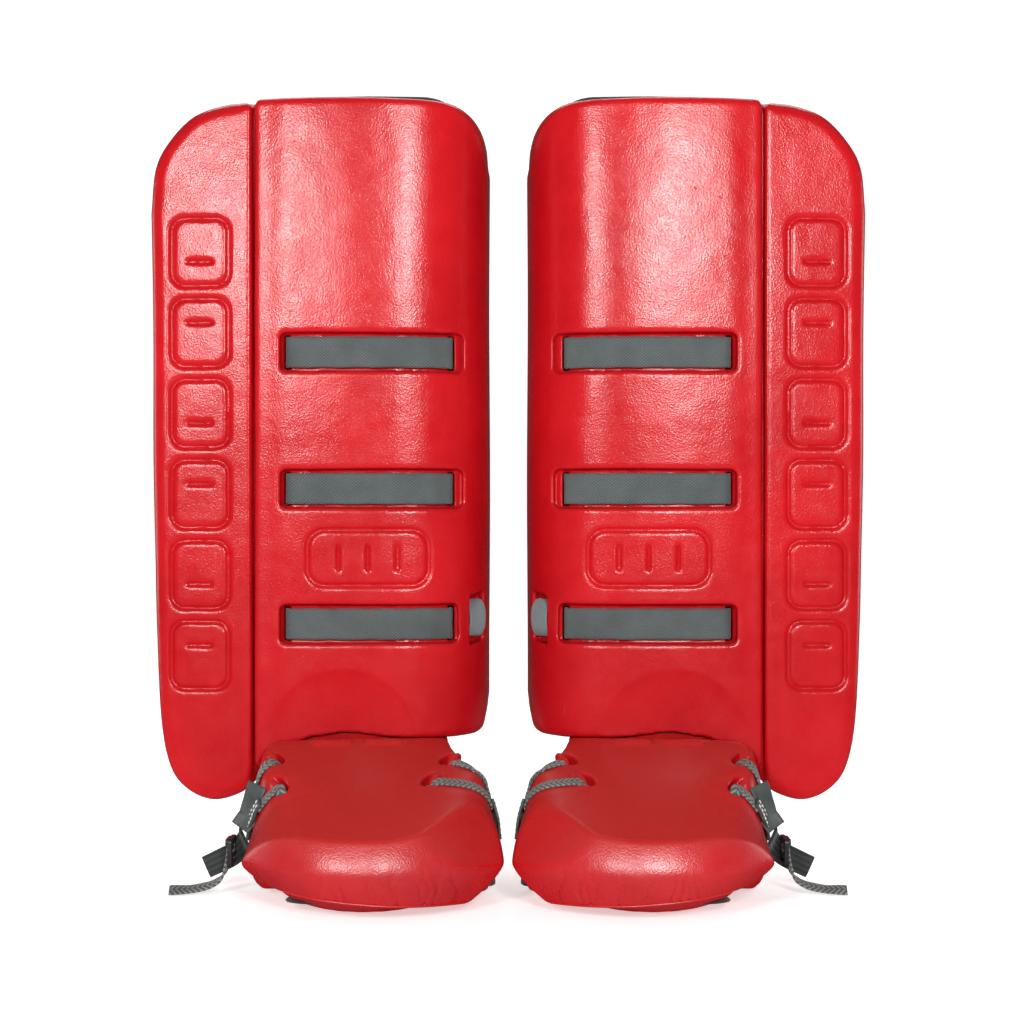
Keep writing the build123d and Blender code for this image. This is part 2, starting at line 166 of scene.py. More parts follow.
def surface(field, low, high, cell):
    """Mesh of a field's zero level, with one vertex in each cell that the surface crosses."""
    axes = [np.arange(a, b + cell, cell) for a, b in zip(low, high)]
    shape = tuple(len(a) for a in axes)
    value = np.broadcast_to(field(*np.ix_(*axes)), shape).astype(np.float32)
    inside = value < 0
    size = [count - 1 for count in shape]
    corners = list(np.ndindex(2, 2, 2))
    filled = sum(inside[i:i + size[0], j:j + size[1], k:k + size[2]].astype(np.int8)
                 for i, j, k in corners)
    cells = np.argwhere((filled > 0) & (filled < 8))
    index = np.full(size, -1, np.int32)
    index[tuple(cells.T)] = np.arange(len(cells))

    # each vertex is the mean of the crossings on its cell's edges
    total = np.zeros((len(cells), 3))
    hits = np.zeros(len(cells))
    for corner in corners:
        for axis in range(3):
            if corner[axis]:
                continue
            end = list(corner)
            end[axis] = 1
            a = value[tuple((cells + corner).T)].astype(float)
            b = value[tuple((cells + end).T)].astype(float)
            crossed = (a < 0) != (b < 0)
            point = np.tile(np.array(corner, float), (len(cells), 1))
            point[:, axis] += np.where(crossed, a / np.where(crossed, a - b, 1), 0)
            total[crossed] += point[crossed]
            hits[crossed] += 1
    vertices = (cells + total / hits[:, None]) * cell + np.array([a[0] for a in axes])

    # one quad round each grid edge that changes sign
    faces = []
    for axis in range(3):
        u, v = (axis + 1) % 3, (axis + 2) % 3
        edges = np.argwhere(np.diff(inside, axis=axis))
        inner = (edges[:, u] > 0) & (edges[:, v] > 0)
        inner &= (edges[:, u] < size[u]) & (edges[:, v] < size[v])
        edges = edges[inner]
        quads = []
        for du, dv in ((1, 1), (0, 1), (0, 0), (1, 0)):
            near = edges.copy()
            near[:, u] -= du
            near[:, v] -= dv
            quads.append(index[tuple(near.T)])
        quads = np.stack(quads, 1)
        starts_outside = ~inside[tuple(edges.T)]
        quads[starts_outside] = quads[starts_outside][:, ::-1]
        faces.append(quads)
    return vertices, np.vstack(faces)


# ------------------------------------------------------------------ materials
class Shader:
    """Node tree of a material or world, with short calls that add nodes and return outputs."""

    def __init__(self, block):
        block.use_nodes = True
        self.block = block
        self.tree = block.node_tree

    def feed(self, node, inputs):
        for key, value in inputs.items():
            if isinstance(value, bpy.types.NodeSocket):
                self.tree.links.new(value, node.inputs[key])
            else:
                node.inputs[key].default_value = value

    def node(self, kind, inputs, **props):
        node = self.tree.nodes.new("ShaderNode" + kind)
        for key, value in props.items():
            setattr(node, key, value)
        self.feed(node, inputs)
        return node

    def math(self, operation, a, b=0.0):
        return self.node("Math", {0: a, 1: b}, operation=operation).outputs[0]

    def add(self, a, b):
        return self.math("ADD", a, b)

    def mul(self, a, b):
        return self.math("MULTIPLY", a, b)

    def wave(self, value, period):
        return self.math("SINE", self.mul(value, 2 * math.pi / period))

    def mix(self, factor, a, b):
        return self.node("Mix", {0: factor, 6: a, 7: b}, data_type="RGBA").outputs[2]

    def noise(self, coords, scale, detail=2.0, rough=0.5):
        return self.node("TexNoise", {"Vector": coords, "Scale": scale, "Detail": detail,
                                      "Roughness": rough}).outputs["Fac"]

    def voronoi(self, coords, scale, feature="F1"):
        return self.node("TexVoronoi", {"Vector": coords, "Scale": scale},
                         feature=feature).outputs["Distance"]

    def ramp(self, value, span, to=(0.0, 1.0)):
        """Maps the span of values linearly on to another, and clamps it."""
        inputs = {0: value, 1: span[0], 2: span[1], 3: to[0], 4: to[1]}
        return self.node("MapRange", inputs).outputs[0]

    def bump(self, height, distance, strength, **normal):
        return self.node("Bump", {"Height": height, "Distance": distance, "Strength": strength,
                                  **normal}).outputs[0]

    def coords(self, kind="Object"):
        return self.node("TexCoord", {}).outputs[kind]

    def split(self, vector):
        return self.node("SeparateXYZ", {0: vector}).outputs

    def principled(self, **inputs):
        """Feeds the Principled BSDF and returns the material. Underscores stand for spaces."""
        self.feed(self.tree.nodes["Principled BSDF"],
                  {key.replace("_", " "): value for key, value in inputs.items()})
        return self.block


def material(name):
    return Shader(bpy.data.materials.new(name))


def foam_material():
    mat = material("moulded_foam")
    coords = mat.coords()
    big = mat.noise(coords, scale=9, detail=4, rough=0.55)
    mid = mat.noise(coords, scale=60, detail=4, rough=0.6)
    color = mat.mix(mat.ramp(big, span=(0.35, 0.65)),
                    (0.385, 0.0032, 0.0066, 1), (0.475, 0.0050, 0.0092, 1))
    color = mat.mix(mat.ramp(mid, span=(0.35, 0.75), to=(0, 0.35)), color, (0.50, 0.008, 0.013, 1))

    # the instep is duller, and painted paler as a sheen on its upward-facing skin; the front of the
    # toe has a coarser, wetter skin
    y = mat.split(coords)[1]
    up = mat.split(mat.coords("Normal"))[2]
    instep = mat.mul(mat.ramp(up, span=(0.30, 0.92)),
                     mat.ramp(y, span=(-0.010, 0.030), to=(1, 0)))
    toe = mat.mul(mat.ramp(up, span=(0.62, 0.82), to=(1, 0)),
                  mat.ramp(y, span=(-0.140, -0.110), to=(1, 0)))
    # painted sheen: the upward-facing instep is mixed towards a paler red
    color = mat.mix(mat.mul(instep, 0.85), color, (0.475, 0.026, 0.022, 1))

    # rubbed pale streaks, and a few dark specks trapped in the skin
    streaks = mat.node("Mapping", {"Vector": coords, "Scale": (1, 1, 0.12),
                                   "Rotation": (0, 0.35, 0)}).outputs[0]
    scuff = mat.mul(mat.ramp(mat.noise(streaks, scale=170, detail=3, rough=0.7), span=(0.69, 0.78)),
                    mat.ramp(big, span=(0.5, 0.66)))
    color = mat.mix(mat.mul(scuff, 0.35), color, (0.80, 0.13, 0.13, 1))
    speck = mat.ramp(mat.voronoi(coords, scale=48), span=(0.018, 0.030), to=(1, 0))
    color = mat.mix(mat.mul(speck, 0.75), color, (0.10, 0.004, 0.006, 1))

    # leathery grain with a finer one inside it, and small nicks
    grain = mat.voronoi(coords, scale=820, feature="SMOOTH_F1")
    fine = mat.noise(coords, scale=1500)
    peel = mat.noise(coords, scale=520)
    height = mat.add(mat.mul(grain, 0.9), mat.mul(peel, 0.55))
    height = mat.add(height, mat.mul(fine, 0.25))
    nick = mat.ramp(mat.voronoi(coords, scale=31), span=(0.020, 0.045), to=(1, 0))
    height = mat.math("SUBTRACT", height, mat.mul(nick, 1.6))
    height = mat.mul(height, mat.ramp(toe, span=(0, 1), to=(1.0, 1.4)))
    swell = mat.bump(mat.noise(coords, scale=28), distance=0.0016, strength=0.5)

    rough = mat.add(mat.ramp(mid, span=(0.3, 0.7), to=(0.19, 0.26)), mat.mul(scuff, 0.2))
    rough = mat.add(rough, mat.add(mat.mul(instep, 0.14), mat.mul(toe, 0.12)))
    return mat.principled(
        Base_Color=color, Roughness=rough,
        Normal=mat.bump(height, distance=0.00014, strength=0.9, Normal=swell),
        Specular_IOR_Level=mat.ramp(toe, span=(0, 1), to=(0.33, 0.85)))


def tape_material(name, dark, light, pitch, across, sheen=0.25, rib=0.0, braid=False):
    """Woven tape, from UVs in metres: u along the tape and v across it."""
    mat = material(name)
    u, v, _ = mat.split(mat.coords("UV"))
    if braid:
        slant = mat.add(mat.mul(u, 2 * math.pi / pitch),
                        mat.mul(mat.math("ABSOLUTE", v), 2 * math.pi / across))
        strand = mat.ramp(mat.math("SINE", slant), span=(-0.55, 0.55))
        weave = mat.mul(strand, mat.ramp(mat.math("ABSOLUTE", v), span=(0.0, 0.0007)))
    else:
        weave = mat.ramp(mat.mul(mat.wave(u, pitch), mat.wave(v, across)), span=(-1, 1))
    if rib:
        weave = mat.add(mat.mul(weave, 0.25), mat.ramp(mat.wave(v, rib), span=(-0.6, 0.9)))
    coords = mat.coords()
    fuzz = mat.noise(coords, scale=2600)
    tone = mat.noise(coords, scale=45, detail=3)
    color = mat.mix(mat.add(mat.mul(weave, 0.6), mat.mul(fuzz, 0.4)), dark, light)
    color = mat.mix(mat.ramp(tone, span=(0.3, 0.75), to=(0, 0.35)), color,
                    tuple(c * 0.72 for c in dark[:3]) + (1,))
    height = mat.add(weave, mat.mul(fuzz, 0.35))
    return mat.principled(
        Base_Color=color, Normal=mat.bump(height, distance=0.00035, strength=0.9),
        Roughness=0.72, Sheen_Weight=sheen, Sheen_Roughness=0.4)


def knit_material():
    mat = material("brushed_knit")
    coords = mat.coords()
    stitch = mat.voronoi(coords, scale=760)
    tone = mat.noise(coords, scale=30, detail=3)
    return mat.principled(
        Base_Color=mat.mix(mat.ramp(stitch, span=(0, 0.7)),
                           (0.010, 0.010, 0.011, 1), (0.036, 0.036, 0.040, 1)),
        Normal=mat.bump(mat.add(stitch, mat.mul(tone, 2)), distance=0.0005, strength=0.8),
        Roughness=0.88, Sheen_Weight=0.5)


def keeper_material():
    mat = material("folded_keeper")
    coords = mat.coords()
    tone = mat.noise(coords, scale=70, detail=4, rough=0.6)
    folds = mat.bump(mat.noise(coords, scale=120), distance=0.0012, strength=0.4)
    return mat.principled(
        Base_Color=mat.mix(mat.ramp(tone, span=(0.3, 0.7)),
                           (0.034, 0.042, 0.039, 1), (0.066, 0.080, 0.075, 1)),
        Normal=mat.bump(mat.noise(coords, scale=1300, detail=3), distance=0.0002, strength=0.7,
                        Normal=folds),
        Roughness=0.5)


def plastic_material():
    mat = material("buckle_plastic")
    coords = mat.coords()
    tone = mat.noise(coords, scale=40, detail=3)
    return mat.principled(
        Base_Color=mat.mix(mat.ramp(tone, span=(0.3, 0.7)),
                           (0.010, 0.010, 0.011, 1), (0.022, 0.022, 0.024, 1)),
        Normal=mat.bump(mat.noise(coords, scale=2400), distance=0.00008, strength=0.8),
        Roughness=mat.ramp(tone, span=(0.3, 0.7), to=(0.34, 0.48)))


def thread_material():
    mat = material("thread")
    return mat.principled(
        Base_Color=mat.mix(mat.noise(mat.coords(), scale=900),
                           (0.45, 0.47, 0.45, 1), (0.72, 0.74, 0.70, 1)),
        Roughness=0.75)


FOAM = foam_material()
WEBBING = tape_material("webbing", dark=(0.017, 0.023, 0.023, 1), light=(0.122, 0.146, 0.143, 1),
                        pitch=0.0029, across=0.0024)
CORD = tape_material("lace_webbing", dark=(0.012, 0.015, 0.014, 1), light=(0.270, 0.300, 0.275, 1),
                     pitch=0.0040, across=0.0046, braid=True)
PALE = tape_material("light_webbing", dark=(0.075, 0.100, 0.106, 1), light=(0.285, 0.345, 0.360, 1),
                     pitch=0.0024, across=0.0020)
ELASTIC = tape_material("ribbed_elastic", dark=(0.010, 0.012, 0.012, 1),
                        light=(0.040, 0.046, 0.045, 1), pitch=0.0016, across=0.0013, sheen=0.2,
                        rib=0.0042)
KNIT = knit_material()
KEEPER = keeper_material()
PLASTIC = plastic_material()
THREAD = thread_material()


# ------------------------------------------------------------------ meshes
# A mesh is (vertices, quads) or (vertices, quads, UVs in metres).
def to_scene(points, mirror):
    """Points of the right leg in the scene's metres, mirrored for the left leg."""
    x, y, z = np.asarray(points, float).T
    return np.stack([(x - LEG_X) * mirror, y + FRONT_Y, z], 1) * MM


def add_object(name, data):
    obj = bpy.data.objects.new(name, data)
    bpy.context.scene.collection.objects.link(obj)
    return obj


def make(name, mesh, mirror, mat, slot, nodes=(), body=None, blend=None):
    """Adds a mesh that rides on a body, or, given blend, one that is only left in place in the
    scene.
    """
    vertices, faces, *uvs = mesh
    if mirror < 0:
        faces = faces[:, ::-1]
    data = bpy.data.meshes.new(name)
    data.vertices.add(len(vertices))
    data.vertices.foreach_set("co", to_scene(vertices, mirror).astype(np.float32).ravel())
    data.loops.add(faces.size)
    data.loops.foreach_set("vertex_index", faces.astype(np.int32).ravel())
    data.polygons.add(len(faces))
    data.polygons.foreach_set("loop_start", np.arange(0, faces.size, 4, dtype=np.int32))
    data.polygons.foreach_set("loop_total", np.full(len(faces), 4, np.int32))
    data.update(calc_edges=True)
    if uvs:
        layer = data.uv_layers.new(name="UVMap")
        corner = np.empty(len(data.loops), np.int32)
        data.loops.foreach_get("vertex_index", corner)
        layer.data.foreach_set("uv", uvs[0].astype(np.float32)[corner].ravel())
    data.validate()
    data.shade_smooth()
    data.materials.append(mat)
    obj = add_object(name, data)
    if blend:
        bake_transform(obj)
    else:
        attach(obj, body)
    if nodes:
        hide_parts(*nodes)


def join(meshes):
    vertices, faces, *uvs = zip(*meshes)
    starts = np.cumsum([0, *map(len, vertices)])
    faces = [quads + start for quads, start in zip(faces, starts)]
    return tuple(np.vstack(group) for group in (vertices, faces, *uvs))


def unit(rows):
    return rows / norm(rows, axis=1)[:, None]


def lengths_along(path):
    return np.concatenate([[0], np.cumsum(norm(np.diff(path, axis=0), axis=1))])


def sample(path, values, count):
    """Rows of values at evenly spaced places along a path."""
    along = lengths_along(path)
    places = np.linspace(0, along[-1], count)
    return np.stack([np.interp(places, along, values[:, i]) for i in range(3)], 1)


def resample(path, step):
    return sample(path, path, max(3, int(lengths_along(path)[-1] / step) + 1))


def fillet_path(points, radius, step=TAPE_STEP):
    """Polyline through 3-D points with its corners rounded, sampled evenly."""
    P = [np.array(p, float) for p in points]
    path = [P[0]]
    for i in range(1, len(P) - 1):
        back, ahead = P[i - 1] - P[i], P[i + 1] - P[i]
        back_length, ahead_length = norm(back), norm(ahead)
        reach = min(radius, back_length * 0.48, ahead_length * 0.48)
        start = P[i] + back / back_length * reach
        end = P[i] + ahead / ahead_length * reach
        for j in range(9):
            t = j / 8
            path.append(start * (1 - t) ** 2 + 2 * P[i] * t * (1 - t) + end * t * t)
    path.append(P[-1])
    return resample(np.array(path), step)


def soften(path, rounds):
    for _ in range(rounds):
        path[1:-1] = (path[:-2] + 2 * path[1:-1] + path[2:]) / 4


def ribbon(path, side, width, thick, cup=0.0, columns=14, waver=0.0):
    """Closed tape along a path.

    side is the width direction, one vector or one for each path point. cup bends the section,
    and waver is the height of slow random waves along the tape.
    """
    path = np.asarray(path, float)
    count = len(path)
    along = unit(np.gradient(path, axis=0))
    side = np.broadcast_to(np.asarray(side, float), path.shape)
    side = unit(side - along * (side * along).sum(1)[:, None])
    up = np.cross(along, side)
    s = lengths_along(path)
    # half section: place across from -1 to 1, and height that thins towards the edges
    across = [-1 + 2 * i / columns for i in range(columns + 1)]
    half = [(a, 0.5 * (1 - max(0, abs(a) - 0.9) * 6)) for a in across]
    ring = half + [(a, -b) for a, b in reversed(half)]
    phase = rng.uniform(0, 6.28, 3)
    half_width = width * 0.5 * (1 + 0.012 * np.sin(s * 0.21 + phase[0]) * (1 if waver else 0))
    lift = waver * (np.sin(s * 0.11 + phase[1]) + 0.5 * np.sin(s * 0.27 + phase[2]))
    vertices, uvs = [], []
    for a, b in ring:
        height = b * thick + cup * (a * a - 0.4) + lift * (0.4 + 0.6 * a)
        vertices.append(path + side * (a * half_width)[:, None] + up * height[:, None])
        uvs.append(np.stack([s, np.full(count, a * width * 0.5)], 1) * MM)
    K = len(ring)
    vertices = np.stack(vertices, 1).reshape(-1, 3)
    uvs = np.stack(uvs, 1).reshape(-1, 2)
    i, j = np.meshgrid(np.arange(count - 1), np.arange(K), indexing="ij")
    a = i * K + j
    b = i * K + (j + 1) % K
    walls = np.stack([a, b, b + K, a + K], -1).reshape(-1, 4)
    caps = []
    for base, order in ((0, -1), ((count - 1) * K, 1)):
        for k in range(K // 2 - 1):
            quad = [base + k, base + k + 1, base + K - 2 - k, base + K - 1 - k]
            caps.append(quad[::order])
    return vertices, np.vstack([walls, np.array(caps)]), uvs


def stitches(path, normal, length=2.4, gap=1.3):
    """Short raised threads along a path, with their ends sunk."""
    points = resample(path, length + gap)
    threads = []
    for a, b in zip(points[:-1], points[1:]):
        along = b - a
        along /= norm(along)
        centre = (a + b) / 2
        thread = np.array([centre - along * length / 2 - normal * 0.25,
                           centre - along * length / 4 + normal * 0.15,
                           centre + along * length / 4 + normal * 0.15,
                           centre + along * length / 2 - normal * 0.25])
        threads.append(ribbon(thread, np.cross(along, normal), width=1.0, thick=0.75, columns=4))
    return join(threads)


# ------------------------------------------------------------------ leg guard foam
# Front face in plan (x, y)
FRONT = catmull([(-84, -0.4), (-62, -3), (-12, -5), (32, -2.5), (62, 7), (82, 26), (93, 50),
                 (96, 78)], 7)
FACE = np.vstack([[(-183, 14.5), (-98, 8)], FRONT])     # with the outer wing
# Plan (x, y, corner radius): front, inner side, hollow for the leg, outer side, wing
GUARD_PLAN = rounded([
    *FRONT, (95.5, 115, 9), (70, 115, 9), (68, 62, 16), (60, 44, 9), (47, 37, 9), (-47, 37, 9),
    (-60, 44, 9), (-68, 62, 16), (-70, 111, 9), (-95.5, 111, 9), (-98, 50, 7), (-106, 45.5, 7),
    (-172, 49.5, 0), (-194, 46, 6), (-194, 15, 6), (-98.2, 8, 3.2), (-96.3, 20, 0.6),
    (-94.0, 0.6, 4.0)])
# Front outline (x, z): outer top corner, outer side and lower edge, inner side, inner top corner
OUTER_TOP = catmull([(-94, 636), (-121, 634.2), (-147, 625), (-167, 605), (-179, 582),
                     (-183, 545)], 6)
OUTER_EDGE = catmull([
    (-183, 545), (-181.6, 440), (-181, 349), (-179.6, 270), (-178.5, 203), (-175, 130), (-167, 90),
    (-153, 71), (-132, 62), (-111, 66.5), (-97, 77), (-89, 95), (-72, 106.5), (-48, 114.5),
    (-16, 116.8), (22, 115.4), (50, 114.2)], 5)
INNER_TOP = catmull([(97, 592), (93.5, 610), (83, 625), (66, 633.5), (42, 636)], 5)
GUARD_OUTLINE = np.vstack([
    OUTER_TOP[:-1], OUTER_EDGE, [(84, 114.5), (93, 117.5), (99, 125), (106, 140), (106, 580)],
    INNER_TOP, [(0, 637), (-60, 636.6)]])
# Side profile (y, z, corner radius)
GUARD_PROFILE = rounded([
    (-40, 40), (52, 40), (52, 124, 14), (90, 146, 20), (118, 162, 12), (118, 585, 20),
    (110, 612, 20), (90, 632, 30), (58, 640, 0), (-40, 640)])
# Lower edge over the kicker (x, z)
LOWER_EDGE = np.array([(-97, 77), (-89, 95), (-72, 106.5), (-48, 114), (-16, 116.8), (22, 115.4),
                       (50, 114.2), (84, 114.5), (93, 117.5), (99, 125)])
# Strap slots in plan: front end (x, y), rear end (x, y)
STRAP_SLOTS = ((-70.2, 0.5, -56, 50), (67.5, 6, 56, 51))
SLOT_HALF = 3.2
LINK_HEIGHTS = (182, 248, 314, 380, 446, 512)       # ornaments down the wing
LINK_X = -140.5
PLAQUE_X, PLAQUE_Z = -2, 262


def ornaments(x, z):
    """Distance to the centre lines of the links down the wing and the barred plaque."""
    d = np.full(np.broadcast_shapes(np.shape(x), np.shape(z)), 1e3)
    for i, link_z in enumerate(LINK_HEIGHTS):
        d = np.minimum(d, np.abs(box(x - LINK_X, z - link_z, 23.5, 27.5, 11)))
        bar_drop = 8 if i % 2 else -8
        d = np.minimum(d, np.hypot(np.maximum(np.abs(x - LINK_X) - 9, 0), z - link_z + bar_drop))
    d = np.minimum(d, np.abs(box(x - PLAQUE_X, z - PLAQUE_Z, 49, 22.5, 14)))
    for bar_x in (-24, 0, 24):
        d = np.minimum(d, np.hypot(x - PLAQUE_X - bar_x,
                                   np.maximum(np.abs(z - PLAQUE_Z) - 9, 0)))
    return d


def guard_face(x):
    return np.interp(x, *FACE.T)


def underside(x, y, z, edge):
    """Cut below the guard's lower edge, bevelled between its two sides."""
    face = guard_face(x)
    between = ease(72, 58, x) * ease(-93, -82, x)
    slope = (z - edge - (y - face - 6) * 0.85 * between + 10 * (1 - between)) * 0.76
    return np.maximum(slope, face + 5 - y)


def guard(x, y, z):
    face = guard_face(x)
    edge_radius = 6.5 + 5.5 * ease(-92, -112, x)        # softer on the wing
    d = meet(polygon(x, y, GUARD_PLAN), polygon(x, z, GUARD_OUTLINE), edge_radius)
    d = meet(d, polygon(y, z, GUARD_PROFILE), 6.0)
    under = underside(x, y, z, np.interp(x, *LOWER_EDGE[1:-2].T))
    d = cut(d, np.maximum(under, np.maximum(y - 56, -92.5 - x)), 2.5)
    # half-moon scoop above the arch
    e = oval((x + 23, 60.0), (z - 114, 57.0))
    d = meet(d, face + 9.5 * np.maximum(1 - e, 0) ** 0.7 - y - 60 * np.maximum(e - 1, 0), 0.8)
    # ornaments, as grooves 2.7 deep and 3 to each side
    line = ornaments(x, z)
    groove = 2.7 * (0.5 + 0.5 * np.cos(np.clip(line / 3.0, 0, 1) * math.pi))
    d = np.maximum(d, np.where(line < 4.0, face + groove - 0.05 - y, -5))
    # pocket across the front for each strap, with a slot at each end
    for name, height in STRAP_HEIGHTS.items():
        outer, inner = 73.5, 70.5 if name == "low" else 74.5
        pocket = box(x - (inner - outer) / 2, z - height, (inner + outer) / 2, 16.0, 5.5)
        d = cut(d, np.maximum(pocket, y - face - 8.0), 2.6)
        for x0, y0, x1, y1 in STRAP_SLOTS:
            slot = polygon(x, y, [(x0 - SLOT_HALF, y0), (x0 + SLOT_HALF, y0),
                                  (x1 + SLOT_HALF, y1), (x1 - SLOT_HALF, y1)])
            d = cut(d, np.maximum(slot, np.abs(z - height) - 13.8), 1.0)
    # window in the inner corner
    u = (x - 86) * WINDOW_COS + (y - 33) * WINDOW_SIN
    depth = -(x - 86) * WINDOW_SIN + (y - 33) * WINDOW_COS
    window = box(u - 1.5, z - WINDOW_Z - 0.12 * u, 11.0, 20.5, 2.5)
    d = cut(d, np.maximum(window, depth - 10.2), 1.2)
    # shallow hand-finished waviness
    return d + 0.35 * np.sin(x * 0.045 + 0.6) * np.sin(z * 0.021 + 1.1)


GUARD_MESH = surface(guard, (-188, -12, 55), (102, 122, 643), GUARD_CELL)

# ------------------------------------------------------------------ kicker foam
# Sides of the kicker: y, outer x, inner x
KICKER_SIDES = np.array([
    (-190, -88, 110), (-168, -88.5, 110), (-144, -89, 110), (-120, -89.5, 109.5),
    (-100, -90, 108.5), (-70, -90.5, 104.5), (-56, -90.5, 100), (-38, -90.5, 84), (-20, -90.5, 75),
    (-10, -88.5, 71), (2, -70, 68), (48, -63, 63), (98, -60, 60), (120, -59, 59)])
# Hollow for the foot: plan (x, y, corner radius) and profile (y, z, corner radius)
HOLLOW_PLAN = rounded([(-34, -146, 12), (-50, -122, 20), (-56, -60, 20), (-50, 0, 20), (-44, 112),
                       (44, 112), (50, 0, 20), (64, -60, 20), (60, -122, 20), (46, -146, 12)])
HOLLOW_PROFILE = rounded([(-146, -9), (-146, 26, 6), (-128, 42, 10), (-90, 56, 20), (-40, 70, 20),
                          (10, 88, 20), (50, 104, 20), (120, 150), (120, -9)])
# Cuts at the ankle and under the arch (y, z, corner radius)
ANKLE = rounded([(54, 200), (47, 119, 8), (58, 86, 14), (76, 70, 20), (124, 57), (124, 200)])
ARCH = rounded([(-62, -9), (-54, 9, 6), (12, 9, 6), (22, -9)])
# Lace holes: x, y, turn in plan in degrees
HOLES = [(-73, -34, 32), (-66, -70, 30), (66, -34, -34), (53, -70, -30)]
# Creases: x, depth, width
CREASES = list(zip(rng.uniform(-44, 74, 22), rng.uniform(0.25, 0.75, 22),
                   rng.uniform(0.7, 1.3, 22)))
RIDGE_X = 8                 # crest of the instep
PIVOT_Y, PIVOT_Z = 18, 128  # the guard leans about this line
LEANS = (-10, -5, 0, 3.5, 7, 10.3)      # degrees
BAR_Y = -12.0               # raised bars on the instep


def kicker_sides(y):
    stations, outer, inner = KICKER_SIDES.T
    return np.interp(y, stations, outer), np.interp(y, stations, inner)


def instep_z(x, y):
    """Height of the instep's skin, which falls away to each side of the ridge."""
    ridge = (60.5 + 0.345 * np.minimum(y + 165, 165) + 0.12 * np.clip(y, 0, 12)
             + 0.35 * np.maximum(y - 12, 0))
    outer, inner = kicker_sides(y)
    outward = np.clip((RIDGE_X - x) / (RIDGE_X - outer), 0, 1.1)
    inward = np.clip((x - RIDGE_X) / (inner - RIDGE_X), 0, 1.1)
    power = np.interp(y, [-130, -110, -90, -70, -45, -30], [3.7, 4.0, 5.0, 8, 26, 50])
    height = (ridge - 2.5 * outward ** 2 - 4.0 * inward ** 2
              - (ridge - 3.5 - 37) * 1.05 * outward ** power)
    return height - (ridge - 41) * 0.75 * inward ** (power + 4)


def lip_z(x):
    """Height of the toe's lower lip, which drops towards the inner side."""
    return 19 - 12.5 * np.clip((x + 50) / 138, -0.2, 1.05)


def toe_front(x, z):
    """Share of the way to the side, and y of the toe's front, which bulges at mid height."""
    w = np.abs(x - 10) / (99.0 - (0.9 - 0.45 * ease(0, 40, x)) * np.maximum(37 - z, 0))
    bulge = 9.5 * (np.abs(z - 37) / 24) ** 1.6
    return w, -174.5 + 54 * w ** (2.6 - 0.7 * ease(-10, 30, x)) + bulge


def kicker_outer(x, y, z):
    """Kicker without its hollows and holes."""
    reach = 0.6
    gx = instep_z(x + reach, y) - instep_z(x - reach, y)
    gy = instep_z(x, y + reach) - instep_z(x, y - reach)
    top = (z - instep_z(x, y)) / np.sqrt(1 + (gx * gx + gy * gy) / (2 * reach) ** 2)
    outer_x, inner_x = kicker_sides(y)
    # the sides tuck in towards the floor, most at the toe
    tuck = (0.10 + 0.90 * ease(-50, -105, y)) * np.maximum(37 - z, 0) ** 1.5
    outer = (outer_x + 0.03 * np.maximum(z - 38, 0) + 0.27 * tuck - x) * 0.95
    inner = (x - inner_x + 0.05 * np.maximum(z - 42, 0) + 0.16 * tuck) * 0.95
    w, front_y = toe_front(x, z)
    front = (front_y - y) * (0.90 - 0.25 * ease(0.5, 1.0, w))
    d = meet(top, outer, 5)
    d = meet(d, inner, 5)
    inner_facet = 0.5925 * (x - 92) - 0.5508 * (y + 88) + 0.5879 * (z - 83)
    d = meet(d, inner_facet, 2.5)
    return meet(d, front, 1.9)


def guard_sweep(x, y, z):
    """Space that the guard's lower edge takes as the guard leans to and fro."""
    edge = np.interp(x, *LOWER_EDGE.T)
    face = guard_face(x)
    sweep = 99.0
    for lean in LEANS:
        a = math.radians(lean)
        y0 = PIVOT_Y + (y - PIVOT_Y) * math.cos(a) + (z - PIVOT_Z) * math.sin(a)
        z0 = PIVOT_Z - (y - PIVOT_Y) * math.sin(a) + (z - PIVOT_Z) * math.cos(a)
        blank = meet(edge - z0, face - y0, 5.0)
        sweep = np.minimum(sweep, cut(blank, underside(x, y0, z0, edge), 2.5))
    return sweep


